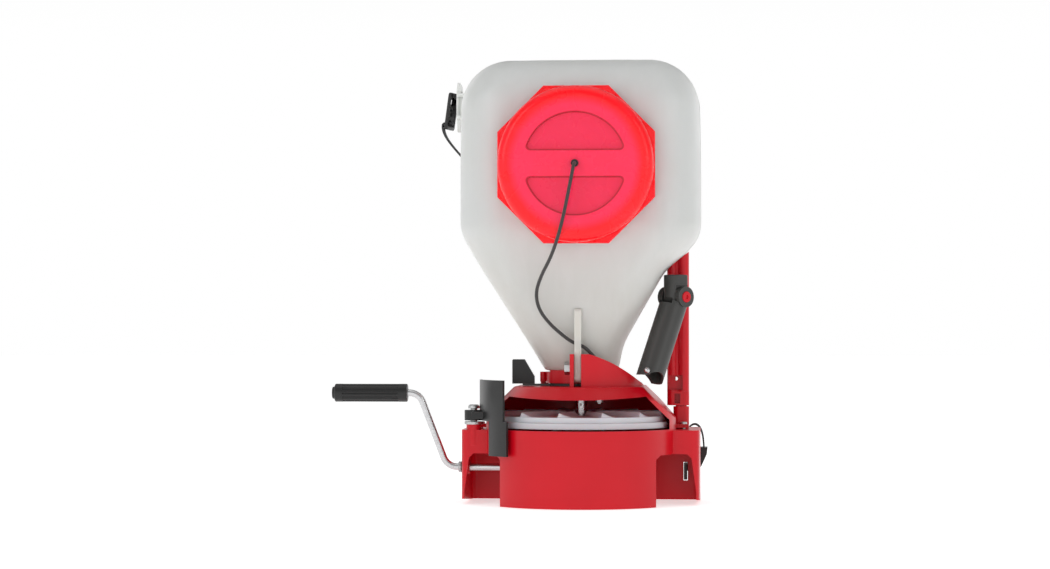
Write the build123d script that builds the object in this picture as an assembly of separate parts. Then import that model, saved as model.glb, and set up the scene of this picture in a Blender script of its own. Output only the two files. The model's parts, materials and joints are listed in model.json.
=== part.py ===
"""Handheld salt spreader: translucent hopper, hand-cranked impeller, shoulder strap and folding side handle.

Millimetres, +Z up. The origin is where the impeller's axis meets the plane that the base stands on. +X runs to the
right of a person facing the spreader's discharge side, +Y away from that person, towards the one who carries it.
"""

import os
from math import cos, pi, radians, sin, sqrt, tan

from build123d import *

os.makedirs("parts", exist_ok=True)

# --- base housing: a ring round the impeller with a pod on each side, open below ---
RING_R = 109.0
RING_WALL = 3.5
RING_TOP = 86.5
POD_HALF_W = 136.0
POD_FRONT = -25.0
POD_REAR = 78.0
POD_TOP = 85.0
POD_CORNER = 9.0
BASE_WALL = 3.0
FLOOR_PLATE = 4.0
SHIELD_HALF_W = 88.0
ARCH_TOP = 58.0

# --- top housing: a sloped roof over the impeller, open at the front ---
ROOF_TOP = 135.0
ROOF_HALF_W = 73.0
ROOF_EAVE_X = 108.0
ROOF_EAVE_Z = 98.5
ROOF_WALL = 3.5
VISOR_TOP_R = 88.0
VISOR_RIM_Z = 121.0
GUARD_R = 72.0
GUARD_TOP = 172.0

# --- hopper ---
HOPPER_LEFT = -135.3
HOPPER_RIGHT = 137.5
HOPPER_HALF_D = 86.0
HOPPER_TOP = 509.0
SHOULDER_Z = 310.0
NECK_Z = 154.0
NECK_R = 36.0
HOPPER_WALL = 2.6
HOPPER_CORNER = 50.0
FILL_Z = 384.0
FILL_R = 74.0
FIN_HALF = 4.0

# --- cap: Y of its back edge, of the octagonal flange's front, of its inside and of its face ---
CAP_BACK = -89.0
CAP_FLANGE = -97.5
CAP_INSIDE = -113.5
CAP_FACE = -120.0
RECESS_R = 60.4
RECESS_GAP = 15.0

# --- drive: crank shaft along X, impeller shaft along Z, crown wheel and pinion ---
CRANK_Z = 41.4
ROD_R = 4.0
THROW = 85.0
RUN = 0.06
MODULE = 2.0
CROWN_TEETH = 30
PINION_TEETH = 10
CROWN_R = MODULE * CROWN_TEETH / 2
PINION_R = MODULE * PINION_TEETH / 2
GRIP_LOW = -288.0
GRIP_HIGH = -200.5
GRIP_R = 10.4
COVER_T = 5.0
COVER_SEAT = 2.5
CASE_X = (-34.0, 30.0)
CASE_Y = (-41.0, 41.0)
CASE_Z = (COVER_T, POD_TOP - FLOOR_PLATE)

# --- impeller ---
FLANGE_R = 101.0
FLANGE_Z = 88.0
STEP_Z = 95.0
PLATE_R = 96.5
PLATE_Z = 102.0
VANE_TOP = 107.0
VANES = 12

# --- post, folding handle and baffle ---
POST_X = 110.7
POST_Y = 38.0
PIVOT = (109.0, -12.0, 236.7)
HANDLE_R = 15.7
HANDLE_LEN = 102.0
REST_TILT = 24.0
BUTTON_DOWN = 97.0
BUTTON_TURN = 30.0
PIN_FRAME = Pos(*PIVOT) * Rot(0, 0, -45)
HANDLE_FRAME = PIN_FRAME * Rot(-REST_TILT, 0, 0)
BRACKET_SCREWS = (252.6, 259.4)
BAFFLE_X = -122.0
BAFFLE_Y = -17.0
BAFFLE_R = 117.0

# --- strap and tether ---
STRAP_W = 25.0
STRAP_T = 1.8
STRAP_Y = 102.0
LUG_X = (-151.5, -148.0)
TETHER_D = 4.0

# --- places shared by several pieces ---
FIN_BOLT = (-58.0, 156.0)
TETHER_HOLE = (0.0, -59.6, 182.7)
CASE_SCREWS = [(-27.0, -36.0), (-27.0, 36.0), (27.0, -36.0), (27.0, 36.0)]
EAR_PLACES = [(-102.0, 62.0), (102.0, 62.0), (-117.0, 22.0), (117.0, 22.0)]
COLLAR_FEET = [(40, 44.2), (165, 44.2), (305, 44.2)]
GATE_STOP = (24.0, -58.0)
FLOW_HOLE_R = 12.0
FLOW_HOLE_Y = 20.0


def cylinder(radius, low, high, x=0.0, y=0.0):
    """An upright cylinder between two heights."""
    return Pos(x, y, (low + high) / 2) * Cylinder(radius, high - low)


def rod_x(radius, low, high, y=0.0, z=0.0):
    """A cylinder along X between two X values."""
    return Pos((low + high) / 2, y, z) * Rot(0, 90, 0) * Cylinder(radius, high - low)


def rod_y(radius, low, high, x=0.0, z=0.0):
    """A cylinder along Y between two Y values."""
    return Pos(x, (low + high) / 2, z) * Rot(90, 0, 0) * Cylinder(radius, high - low)


def box(x, y, z):
    """A box from three (low, high) pairs."""
    size = [pair[1] - pair[0] for pair in (x, y, z)]
    middle = [(pair[0] + pair[1]) / 2 for pair in (x, y, z)]
    return Pos(*middle) * Box(*size)


def ring(outer, inner, low, high, x=0.0, y=0.0):
    """An upright tube."""
    return cylinder(outer, low, high, x, y) - cylinder(inner, low - 1, high + 1, x, y)


def prism_y(points, low, high):
    """An outline of (x, z) points pushed along Y."""
    outline = Plane.XZ * make_face(Polyline(*points, close=True))
    return Pos(0, high, 0) * extrude(outline, high - low)


def prism_x(points, low, high):
    """An outline of (y, z) points pushed along X."""
    outline = Plane.YZ * make_face(Polyline(*points, close=True))
    return Pos(low, 0, 0) * extrude(outline, high - low)


def hexagon(across, low, high, x=0.0, y=0.0):
    """A hexagonal prism, given across its flats."""
    outline = Pos(x, y, low) * RegularPolygon(across / 2, 6, major_radius=False)
    return extrude(outline, high - low)


def pan_screw(head_r, head_h, shank_r, length):
    """A pan-head screw standing along Z: its head sits on Z = 0 and its shank points down."""
    head = Cylinder(head_r, head_h, align=(Align.CENTER, Align.CENTER, Align.MIN))
    head = fillet(head.edges().sort_by(Axis.Z)[-1], head_h * 0.45)
    slot = Pos(0, 0, head_h) * (Box(head_r * 1.1, 0.9, 1.4) + Box(0.9, head_r * 1.1, 1.4))
    shank = Cylinder(shank_r, length, align=(Align.CENTER, Align.CENTER, Align.MAX))
    return head - slot + shank


written = []


def save(node, shape):
    """Write one node, and note its name for the final count."""
    export_step(shape, f"parts/{node}.step")
    written.append(node)


# ------------------------------------------------------------------ base housing

def base_plan(shrink=0.0, low=0.0, high=POD_TOP, ring_high=None):
    """The base's outline as a solid: the round ring and the two pods beside it."""
    pods = Pos(0, (POD_FRONT + POD_REAR) / 2, low) * extrude(
        RectangleRounded(2 * (POD_HALF_W - shrink), POD_REAR - POD_FRONT - 2 * shrink, POD_CORNER - shrink), high - low
    )
    return pods + cylinder(RING_R - shrink, low, ring_high or high)


def make_base():
    shell = base_plan(high=POD_TOP, ring_high=RING_TOP)
    shell -= base_plan(shrink=BASE_WALL, low=-1, high=POD_TOP - FLOOR_PLATE)
    shell -= cylinder(RING_R - RING_WALL, POD_TOP - 0.5, RING_TOP + 1)
    # The front is open beside the shield, so that the pods end in tapering pillars.
    for side in (-1, 1):
        arch = [
            (side * SHIELD_HALF_W, -1),
            (side * SHIELD_HALF_W, ARCH_TOP - 5),
            (side * (SHIELD_HALF_W + 5), ARCH_TOP),
            (side * 122, ARCH_TOP),
            (side * 127, ARCH_TOP - 5),
            (side * 132.5, 14),
            (side * 132.5, -1),
        ]
        shell -= prism_y(arch, -RING_R - 5, -13)
        # The side walls rise a little towards the front.
        rise = [(-40, -1), (-40, 7), (POD_REAR - 12, 0), (POD_REAR - 12, -1)]
        low_x, high_x = sorted((side * 125, side * (POD_HALF_W + 1)))
        shell -= prism_x(rise, low_x, high_x)
    # Stiffening ribs under the floor plate, the crank's bearing boss and the slot for the strap's hook.
    shell += rod_x(8, -POD_HALF_W + BASE_WALL - 0.5, -POD_HALF_W + 8, 0, CRANK_Z)
    shell -= rod_x(6.6, -POD_HALF_W - 1, -POD_HALF_W + 12, 0, CRANK_Z)
    shell -= box((116, 121), (POD_REAR - 8, POD_REAR + 1), (22.5, 44))
    # Boss under the baffle's pivot bolt.
    shell += cylinder(8.6, POD_TOP - FLOOR_PLATE - 14, 91, BAFFLE_X, BAFFLE_Y)
    shell -= cylinder(3.1, 50, 95, BAFFLE_X, BAFFLE_Y)
    # Hollow stub that takes the post's spigot.
    stub = Pos(114.2, POST_Y, POD_TOP - 0.5) * extrude(RectangleRounded(18.2, 14, 5.5), 26)
    bore = Pos(114.2, POST_Y, POD_TOP - 0.5) * extrude(RectangleRounded(13.0, 8.8, 3.5), 30)
    shell = shell + stub - bore
    shell -= rod_y(1.6, POST_Y, POST_Y + 12, 114.2, 99)
    # Shaft hole, and the screw holes of the roof and the gear case.
    shell -= cylinder(8.05, 70, 95)
    for x, y in EAR_PLACES:
        shell += cylinder(4.5, 70, POD_TOP - 1, x, y)
        shell -= cylinder(2.1, 60, 95, x, y)
    for x, y in CASE_SCREWS:
        shell -= cylinder(2.1, 70, 95, x, y)
    return shell


# ------------------------------------------------------------------ top housing

def roof_body(shrink=0.0, low=RING_TOP):
    """The roof's outer form: a round drum cut to a trapezoid, with a cone round its top edge."""
    slope = shrink * (sqrt(2) - 1)
    outline = [
        (-ROOF_EAVE_X - 1 + shrink, low),
        (-ROOF_EAVE_X - 1 + shrink, ROOF_EAVE_Z - slope),
        (-ROOF_HALF_W + slope, ROOF_TOP - shrink),
        (ROOF_HALF_W - slope, ROOF_TOP - shrink),
        (ROOF_EAVE_X + 1 - shrink, ROOF_EAVE_Z - slope),
        (ROOF_EAVE_X + 1 - shrink, low),
    ]
    radius = RING_R - shrink
    profile = [
        (0, low),
        (radius, low),
        (radius, VISOR_RIM_Z - 1),
        (VISOR_TOP_R - shrink * 0.7, ROOF_TOP - shrink),
        (0, ROOF_TOP - shrink),
    ]
    drum = revolve(Plane.XZ * make_face(Polyline(*profile, close=True)), Axis.Z)
    return prism_y(outline, -RING_R - 2, RING_R + 2) & drum


def make_roof():
    roof = roof_body() - roof_body(shrink=ROOF_WALL, low=RING_TOP - 1)
    # Front window: straight sides, 45 degree shoulders and a rim that dips slightly in the middle.
    side = ROOF_EAVE_X - 5.5
    sill = RING_TOP - 1
    window = make_face(
        Polyline((-77, VISOR_RIM_Z + 3.5), (-side, ROOF_EAVE_Z - 1), (-side, sill), (side, sill),
                 (side, ROOF_EAVE_Z - 1), (77, VISOR_RIM_Z + 3.5))
        + ThreePointArc((77, VISOR_RIM_Z + 3.5), (0, VISOR_RIM_Z), (-77, VISOR_RIM_Z + 3.5))
    )
    roof -= extrude(Plane.XZ * window, RING_R + 5)
    # Flange ears that the roof is screwed down by.
    for x, y in EAR_PLACES:
        side_sign = 1 if x > 0 else -1
        reach = sqrt(max(0.0, (RING_R - 1.5) ** 2 - y**2))
        low_x, high_x = sorted((side_sign * reach, side_sign * (abs(x) + 6)))
        ear = box((low_x, high_x), (y - 7, y + 7), (RING_TOP, RING_TOP + 4))
        roof += ear & cylinder(sqrt(x * x + y * y) + 8, RING_TOP, RING_TOP + 4)
        roof -= cylinder(2.3, RING_TOP - 2, RING_TOP + 8, x, y)
    # Salt hole, shaft hole and the feet that carry the hopper's collar.
    for x in (-1, 1):
        roof -= cylinder(FLOW_HOLE_R, ROOF_TOP - 8, ROOF_TOP + 1, x * 6, FLOW_HOLE_Y)
    roof -= cylinder(7.5, ROOF_TOP - 8, ROOF_TOP + 1)
    for angle, radius in COLLAR_FEET:
        x, y = radius * cos(radians(angle)), radius * sin(radians(angle))
        roof += cylinder(4.6, ROOF_TOP - 0.5, 138.3, x, y)
        roof -= cylinder(1.6, ROOF_TOP - 12, 140, x, y)
    # Spiral-topped guard round the front right of the collar, and the two lugs that hold the hopper's fin.
    guard = ring(GUARD_R, GUARD_R - 3.2, ROOF_TOP - 0.5, GUARD_TOP)
    keep = make_face(
        Polyline((FIN_HALF + 0.4, GUARD_TOP), (FIN_HALF + 0.4, ROOF_TOP - 1), (GUARD_R + 1, ROOF_TOP - 1),
                 (GUARD_R + 1, ROOF_TOP + 0.5))
        + ThreePointArc((GUARD_R + 1, ROOF_TOP + 0.5), (GUARD_R * 0.72, 153.6), (FIN_HALF + 9, GUARD_TOP))
        + Line((FIN_HALF + 9, GUARD_TOP), (FIN_HALF + 0.4, GUARD_TOP))
    )
    roof += guard & Pos(0, -1, 0) * extrude(Plane.XZ * keep, GUARD_R + 5)
    lug = [(-GUARD_R + 0.6, ROOF_TOP - 0.5), (-GUARD_R + 0.6, GUARD_TOP), (-GUARD_R + 12, GUARD_TOP),
           (-46, 150), (-46, ROOF_TOP - 0.5)]
    left_lug = prism_x(lug, -FIN_HALF - 4.6, -FIN_HALF - 0.2)
    right_lug = prism_x(lug, FIN_HALF + 0.2, FIN_HALF + 4.0)
    roof += left_lug + right_lug
    roof -= rod_x(4.15, -20, 20, FIN_BOLT[0], FIN_BOLT[1])
    roof -= cylinder(2.1, ROOF_TOP - 12, ROOF_TOP + 8, *GATE_STOP)
    return roof


# ------------------------------------------------------------------ hopper

def hopper_section(z, left, right, half_d, corner):
    """One level of the hopper: a rounded rectangle between a left and a right X."""
    return Pos((left + right) / 2, 0, z) * RectangleRounded(right - left, 2 * half_d, corner)


def hopper_body(skin=0.0):
    """The hopper's form, inset by the wall for its inside."""
    upper = hopper_section(SHOULDER_Z, HOPPER_LEFT + skin, HOPPER_RIGHT - skin, HOPPER_HALF_D - skin,
                           HOPPER_CORNER - skin)
    upper = extrude(upper, HOPPER_TOP - SHOULDER_Z - skin)
    upper = fillet(upper.edges().group_by(Axis.Z)[-1], HOPPER_CORNER - 3 - skin)
    levels = [
        (SHOULDER_Z, HOPPER_LEFT, HOPPER_RIGHT, HOPPER_HALF_D, HOPPER_CORNER),
        (291.0, -124.5, 125.0, 79.5, 46.0),
        (270.0, -112.4, 97.5, 74.5, 43.0),
        (183.0, -58.0, 48.3, 50.5, 38.0),
        (NECK_Z, -41.4, 43.0, 42.2, 40.0),
    ]
    body = upper
    for low, high in zip(levels[1:], levels[:-1]):
        faces = [
            hopper_section(z, left + skin, right - skin, half_d - skin, corner - skin)
            for z, left, right, half_d, corner in (low, high)
        ]
        body += loft(faces, ruled=True)
    return body


def make_hopper():
    outer = hopper_body() + cylinder(NECK_R, 139.5, NECK_Z + 1)
    outer += rod_y(FILL_R, -102, -HOPPER_HALF_D + 1.5, 0, FILL_Z)
    for y in (-97, -91.5):
        outer += rod_y(FILL_R + 1.3, y - 0.8, y + 0.8, 0, FILL_Z)
    # The fin that ties the hopper to the roof's lugs.
    fin = [(-66, 143), (-66, 223), (-40, 223), (-40, 160), (-47, 139.5), (-62.5, 139.5)]
    outer += prism_x(fin, -FIN_HALF, FIN_HALF)
    # Lug for the shoulder strap, standing off the rear left corner.
    plate = [(84, 433), (117, 437), (117, 488), (84, 492), (72, 480), (72, 445)]
    outer += prism_x(plate, *LUG_X)
    outer += box((-151, -112), (62, 78), (474, 478)) + box((-151, -112), (62, 78), (448, 452))
    outer += box((-151, -112), (72.5, 76), (450, 476))
    inner = hopper_body(HOPPER_WALL) & box((-140, 140), (-90, 90), (NECK_Z + HOPPER_WALL, HOPPER_TOP))
    inner += cylinder(NECK_R - HOPPER_WALL, 130, NECK_Z + 4)
    inner += rod_y(FILL_R - 4.5, -110, -HOPPER_HALF_D + 6, 0, FILL_Z)
    hopper = outer - inner
    hopper -= rod_x(4.15, -20, 20, FIN_BOLT[0], FIN_BOLT[1])
    hopper -= rod_x(5.2, -8, 8, TETHER_HOLE[1], TETHER_HOLE[2])
    hopper -= box((-160, -145), (STRAP_Y - 14.5, STRAP_Y + 14.5), (474, 482))
    return hopper


def make_collar():
    collar = ring(40.6, NECK_R + 0.15, 138.4, 151.2)
    collar += ring(40.6, NECK_R + 2.6, 151.2, 153.6) & box((-34, 34), (-45, -20), (150, 155))
    for angle, radius in COLLAR_FEET:
        x, y = radius * cos(radians(angle)), radius * sin(radians(angle))
        collar += cylinder(5, 138.4, 144, x, y) - cylinder(NECK_R + 0.15, 130, 150)
        collar -= cylinder(2.1, 130, 150, x, y)
    # The small round lug on its left.
    collar += cylinder(3.4, 140.5, 151.2, -43.5, -4)
    collar -= cylinder(NECK_R + 0.15, 130, 160)
    return collar


def make_fin_bolt():
    y, z = FIN_BOLT
    shank = rod_x(4.0, -15, 13, y, z)
    head = Pos(13, y, z) * Rot(0, 90, 0) * extrude(RegularPolygon(6.5, 6, major_radius=False), 5)
    return shank + head


def make_fin_nut():
    y, z = FIN_BOLT
    nut = Pos(-15.2, y, z) * Rot(0, 90, 0) * extrude(RegularPolygon(6.5, 6, major_radius=False), 6.4)
    return nut - rod_x(4.05, -30, 0, y, z)


# ------------------------------------------------------------------ cap

def make_cap():
    octagon = extrude(RegularPolygon(88, 8, major_radius=False, rotation=22.5), CAP_BACK - CAP_FLANGE)
    cap = Cylinder(87.2, CAP_FLANGE - CAP_FACE + 1, align=(Align.CENTER, Align.CENTER, Align.MIN))
    cap = fillet(cap.edges().sort_by(Axis.Z)[-1], 11.0)
    cap = octagon + Pos(0, 0, CAP_BACK - CAP_FLANGE - 1) * cap
    cap -= Cylinder(FILL_R + 2.2, CAP_BACK - CAP_INSIDE, align=(Align.CENTER, Align.CENTER, Align.MIN))
    # A groove from behind keeps the thick rim hollow.
    cap -= ring(84.4, 79.4, 0, CAP_BACK - CAP_INSIDE)
    # Two D-shaped finger recesses with a grip bar left between them.
    for turn in (0, 180):
        half = RECESS_GAP
        reach = sqrt(RECESS_R**2 - half**2)
        outline = make_face(
            Line((-reach, half), (reach, half)) + ThreePointArc((reach, half), (0, RECESS_R), (-reach, half))
        )
        outline = fillet(outline.vertices(), 5)
        cut = Pos(0, 0, CAP_BACK - CAP_FACE - 3.6) * extrude(outline, 6)
        cap -= Rot(0, 0, turn) * cut
    cap -= Cylinder(2.56, 100)
    return Pos(0, CAP_BACK, FILL_Z) * Rot(90, 0, 0) * cap


# ------------------------------------------------------------------ drive

def make_crown():
    """Crown wheel on the crank rod: its teeth point along +X at the pinion."""
    back = -24.0
    root = -PINION_R - 2.3
    wheel = rod_x(CROWN_R + 4, back + 6, root)
    wheel += rod_x(10, back - 4, root + 1)
    tooth = [(-1.25, 0), (-0.75, 3.9), (0.75, 3.9), (1.25, 0)]
    for index in range(CROWN_TEETH):
        profile = make_face(Polyline(*[(y, x) for y, x in tooth], close=True))
        ridge = extrude(Plane((root - 0.1, 0, CROWN_R - 4), x_dir=(0, 1, 0), z_dir=(0, 0, 1)) * (
            Rot(0, 0, 180) * profile), 8)
        wheel += Rot((index + 0.5) * 360 / CROWN_TEETH, 0, 0) * ridge
    wheel -= rod_x(ROD_R + 0.02, back - 10, 10)
    wheel = Pos(0, 0, CRANK_Z) * wheel
    return wheel - cylinder(1.55, CRANK_Z - 20, CRANK_Z + 20, back - 1, 0)


def make_pinion():
    """Straight pinion on the impeller's shaft, in mesh with the crown wheel's top teeth."""
    low = CRANK_Z + CROWN_R - 4.5
    high = CRANK_Z + CROWN_R + 4.5
    pinion = cylinder(PINION_R - 2.5, low, high)
    tooth = [(PINION_R - 3, -1.5), (PINION_R + 1.9, -0.6), (PINION_R + 1.9, 0.6), (PINION_R - 3, 1.5)]
    for index in range(PINION_TEETH):
        outline = make_face(Polyline(*tooth, close=True))
        pinion += Rot(0, 0, 180 + index * 360 / PINION_TEETH) * (Pos(0, 0, low) * extrude(outline, high - low))
    return pinion - cylinder(ROD_R + 0.02, low - 1, high + 1) - rod_x(1.3, -20, 20, 0, CRANK_Z + CROWN_R)


def crank_path():
    """The crank rod's centre line, from its end in the gear case to its end in the grip."""
    points = [(27, 0, CRANK_Z), (-154.5, 0, CRANK_Z), (-187, 0, CRANK_Z + THROW), (-284, 0, CRANK_Z + THROW)]
    return FilletPolyline(*points, radius=17.0)


def make_crank_rod():
    path = crank_path()
    rod = sweep(Plane(path @ 0, z_dir=path % 0) * Circle(ROD_R), path=path)
    rod -= cylinder(1.55, CRANK_Z - 20, CRANK_Z + 20, -25, 0)
    return rod


def ring_x(outer, inner, low, high):
    """A tube round the crank shaft's axis."""
    return Pos(0, 0, CRANK_Z) * (rod_x(outer, low, high) - rod_x(inner, low - 1, high + 1))


def make_grip():
    """Ribbed sleeve that turns freely on the rod's end."""
    grip = rod_x(GRIP_R, GRIP_LOW + 3, GRIP_HIGH)
    grip = fillet(grip.edges().filter_by(GeomType.CIRCLE), 1.5)
    for index in range(12):
        angle = index * 30
        groove = Pos((GRIP_LOW + GRIP_HIGH) / 2 + 1, 0, GRIP_R + 0.4) * Rot(0, 90, 0) * Cylinder(
            1.7, GRIP_HIGH - GRIP_LOW - 22)
        grip -= Rot(angle, 0, 0) * groove
    grip -= rod_x(ROD_R + RUN, GRIP_LOW - 5, GRIP_HIGH + 5)
    return Pos(0, 0, CRANK_Z + THROW) * grip


def make_impeller():
    disc = cylinder(PLATE_R, PLATE_Z - 2.5, PLATE_Z)
    disc += ring(PLATE_R, PLATE_R - 3, STEP_Z - 2.5, PLATE_Z)
    disc += ring(FLANGE_R, PLATE_R - 3, STEP_Z - 2.5, STEP_Z)
    disc += ring(FLANGE_R, FLANGE_R - 3, FLANGE_Z, STEP_Z)
    disc += cylinder(13, FLANGE_Z, PLATE_Z + 1)
    vane = [(12, PLATE_Z - 1), (24, VANE_TOP), (PLATE_R - 9, VANE_TOP), (PLATE_R - 0.5, PLATE_Z - 1)]
    blade = prism_y(vane, -1.4, 1.4)
    for index in range(VANES):
        disc += Rot(0, 0, 18 + index * 360 / VANES) * blade
    return disc - cylinder(ROD_R + 0.02, FLANGE_Z - 1, VANE_TOP + 1) - rod_x(1.3, -20, 20, 0, 96)


def make_shaft():
    shaft = cylinder(ROD_R, CRANK_Z + CROWN_R - 8, 168)
    shaft -= rod_x(1.3, -20, 20, 0, 96)
    shaft -= rod_y(1.55, -20, 20, 0, 113.5)
    shaft -= rod_x(1.3, -20, 20, 0, CRANK_Z + CROWN_R)
    return shaft - rod_x(1.55, -20, 20, 0, 160)


def make_agitator():
    """Bent wire finger that stirs the salt in the outlet."""
    wire = rod_x(1.5, -14, 14, 0, 160)
    return wire + Pos(14, 0, 160) * Sphere(1.5) + cylinder(1.5, 160, 172, -12.5, 0)


# ------------------------------------------------------------------ gear case

def make_case():
    outer = box(CASE_X, CASE_Y, CASE_Z)
    outer = fillet(outer.edges().filter_by(Axis.Z), 5)
    inner = box((CASE_X[0] + 2.5, CASE_X[1] - 2.5), (CASE_Y[0] + 2.5, CASE_Y[1] - 2.5), (0, CASE_Z[1] - 3))
    case = outer - inner
    for x, y in CASE_SCREWS:
        case += box(sorted((x, CASE_X[0 if x < 0 else 1] * 0.97)), sorted((y, CASE_Y[0 if y < 0 else 1] * 0.97)),
                    CASE_Z) & outer
        case += cylinder(5, CASE_Z[0], CASE_Z[1], x, y) & outer
        case -= cylinder(1.6, CASE_Z[1] - 14, CASE_Z[1] + 1, x, y)
        case -= cylinder(1.6, CASE_Z[0] - 1, CASE_Z[0] + 14, x, y)
    case -= rod_x(6.6, CASE_X[0] - 1, CASE_X[1] + 1, 0, CRANK_Z)
    return case - cylinder(8.05, 60, 90)


def make_case_cover():
    """Plate that closes the gear case, flush with the plane that the base stands on."""
    plate = box(CASE_X, CASE_Y, (0, COVER_T))
    plate = fillet(plate.edges().filter_by(Axis.Z), 5)
    for x, y in CASE_SCREWS:
        plate -= cylinder(2.1, -1, 10, x, y) + cylinder(4.0, -1, COVER_SEAT, x, y)
    return plate


def flanged_bush_x(low, high, flange_at):
    """Bush round the crank rod: a sleeve from low to high with a thin flange."""
    sleeve = rod_x(6.55, low, high) + rod_x(7.6, flange_at, flange_at + 1.6)
    return Pos(0, 0, CRANK_Z) * (sleeve - rod_x(ROD_R + RUN, low - 5, high + 5))


def make_crank_bushes():
    left = flanged_bush_x(-POD_HALF_W - 1.0, -POD_HALF_W + 8, -POD_HALF_W - 1.6)
    inner = flanged_bush_x(CASE_X[0] - 1, CASE_X[0] + 3, CASE_X[0] - 1.6)
    outer = flanged_bush_x(CASE_X[1] - 3, CASE_X[1] + 1, CASE_X[1])
    return Compound(children=[left, inner, outer])


def make_shaft_bush():
    sleeve = cylinder(8.0, CASE_Z[1] - 3, POD_TOP + 0.4) + cylinder(11, POD_TOP, POD_TOP + 1.6)
    return sleeve - cylinder(ROD_R + RUN, 60, 100)


def screws_at(places, z, head_r, head_h, shank_r, length, flip=False):
    """Equal screws at several places, standing up or hanging head down."""
    screw = pan_screw(head_r, head_h, shank_r, length)
    if flip:
        screw = Rot(180, 0, 0) * screw
    return Compound(children=[Pos(x, y, z) * screw for x, y in places])


# ------------------------------------------------------------------ gate

def make_gate_plate():
    """Turning shutter: a disc with a kidney opening and a tail that carries the thumb lever."""
    plate = cylinder(38, 135.4, 137.6)
    tail = box((-66, -30), (-17, -7), (135.4, 137.6))
    plate += tail
    plate -= cylinder(7.2, 130, 140)
    for angle in range(0, 41, 8):
        plate -= Rot(0, 0, -45 + angle) * cylinder(FLOW_HOLE_R, 130, 140, 0, FLOW_HOLE_Y)
    for x in (-62, -57):
        plate -= cylinder(1.5, 130, 140, x, -12)
    return plate


def make_gate_lever():
    """Black thumb tab on the shutter's tail."""
    tab = [(-78, 137.6), (-78, 164.5), (-77, 165.5), (-64, 165.5), (-52.5, 146), (-52.5, 137.6)]
    lever = prism_y(tab, -16, -8)
    lever -= prism_y([(-74, 142), (-74, 161), (-66, 161), (-57, 146), (-57, 142)], -10.5, -7)
    for x in (-62, -57):
        lever -= cylinder(1.5, 130, 141.5, x, -12)
    return lever


# ------------------------------------------------------------------ baffle

def make_baffle():
    """Curved blade outside the drum, on an arm that swings round its own post."""
    def sector(low_deg, high_deg, low, high, outer, inner):
        wall = ring(outer, inner, low, high)
        reach = 200
        edges = [(0, 0)] + [(-reach * cos(radians(a)), -reach * sin(radians(a)))
                            for a in (low_deg, (low_deg + high_deg) / 2, high_deg)]
        wedge = Pos(0, 0, low) * extrude(make_face(Polyline(*edges, close=True)), high - low)
        return wall & wedge
    upper = sector(11, 44.5, 96, 142.5, BAFFLE_R, BAFFLE_R - 3)
    lower = sector(30, 47.5, 57, 96, BAFFLE_R, BAFFLE_R - 3)
    hub = cylinder(10.8, 95.6, 107.5, BAFFLE_X, BAFFLE_Y)
    arm = box((-122, -102), (-42, -20), (98, 106)) & ring(140, BAFFLE_R - 1.5, 98, 106)
    blade = upper + lower + hub + arm
    return blade - cylinder(4.0, 90, 120, BAFFLE_X, BAFFLE_Y)


def make_baffle_bolt():
    """Shoulder bolt with a domed head; its shoulder is the baffle's pivot."""
    head = Pos(BAFFLE_X, BAFFLE_Y, 109.2) * Cylinder(6.6, 4.6, align=(Align.CENTER, Align.CENTER, Align.MIN))
    head = fillet(head.edges().sort_by(Axis.Z)[-1], 2.6)
    shoulder = cylinder(3.94, 94.4, 109.2, BAFFLE_X, BAFFLE_Y)
    shank = cylinder(3.0, 62, 94.4, BAFFLE_X, BAFFLE_Y)
    return head + shoulder + shank


# ------------------------------------------------------------------ post and folding handle

def post_section(grow=0.0):
    right = Pos(116.4, POST_Y) * Ellipse(6.9 + grow, 7.0 + grow)
    left = Pos(103.8, POST_Y) * Ellipse(5.9 + grow, 6.0 + grow)
    web = Pos(110, POST_Y) * Rectangle(8, 8 + 2 * grow)
    return right + left + web


def make_post():
    column = Pos(0, 0, 127) * extrude(post_section(), 175)
    column -= Pos(0, 0, -0.25) * hopper_body()
    column -= box((120, 130), (20, 60), (296, 320))
    low, high = 111.8, 127.7
    collar = Pos(POST_X, POST_Y, low) * extrude(RectangleRounded(25.4, 15, 5.5), high - low)
    spigot = Pos(114.2, POST_Y, 90) * extrude(RectangleRounded(12.8, 8.6, 3.4), 23)
    post = column + collar + spigot
    post -= box((99.6, 116), (28, 39), (129.5, 146.5))
    post -= box((106.5, 113), (28, 39), (114, 125.5))
    post -= rod_y(2.1, 30, 42.5, 108.2, 142.5)
    post -= rod_y(1.6, POST_Y - 4, POST_Y + 12, 114.2, 99)
    for z in BRACKET_SCREWS:
        post -= rod_y(2.1, 20, 50, 110.0, z)
    return post


def make_clevis():
    """Fixed collar over the handle, with a tongue for the pin and an arm back to the post."""
    body = cylinder(13.5, 226, 262, PIVOT[0], PIVOT[1])
    body = fillet(body.edges().sort_by(Axis.Z)[-1], 1.2)
    relief = PIN_FRAME * (box((9.8, 20), (-20, 20), (-20, 14)) + box((-20, -9.8), (-20, 20), (-20, 14)))
    body -= relief
    toe = PIN_FRAME * (rod_x(11.5, -12, 12) + box((-12, 12), (-16, 16), (0, 40)))
    body = body & toe
    front = POST_Y - 7.05
    arm = box((PIVOT[0] - 7, PIVOT[0] + 9), (PIVOT[1] + 8, front), (250.8, 261.4))
    body += arm
    body -= PIN_FRAME * rod_x(3.1, -20, 20)
    for z in BRACKET_SCREWS:
        body -= rod_y(1.6, front - 14, front + 1, 110.0, z)
    return body


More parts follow.
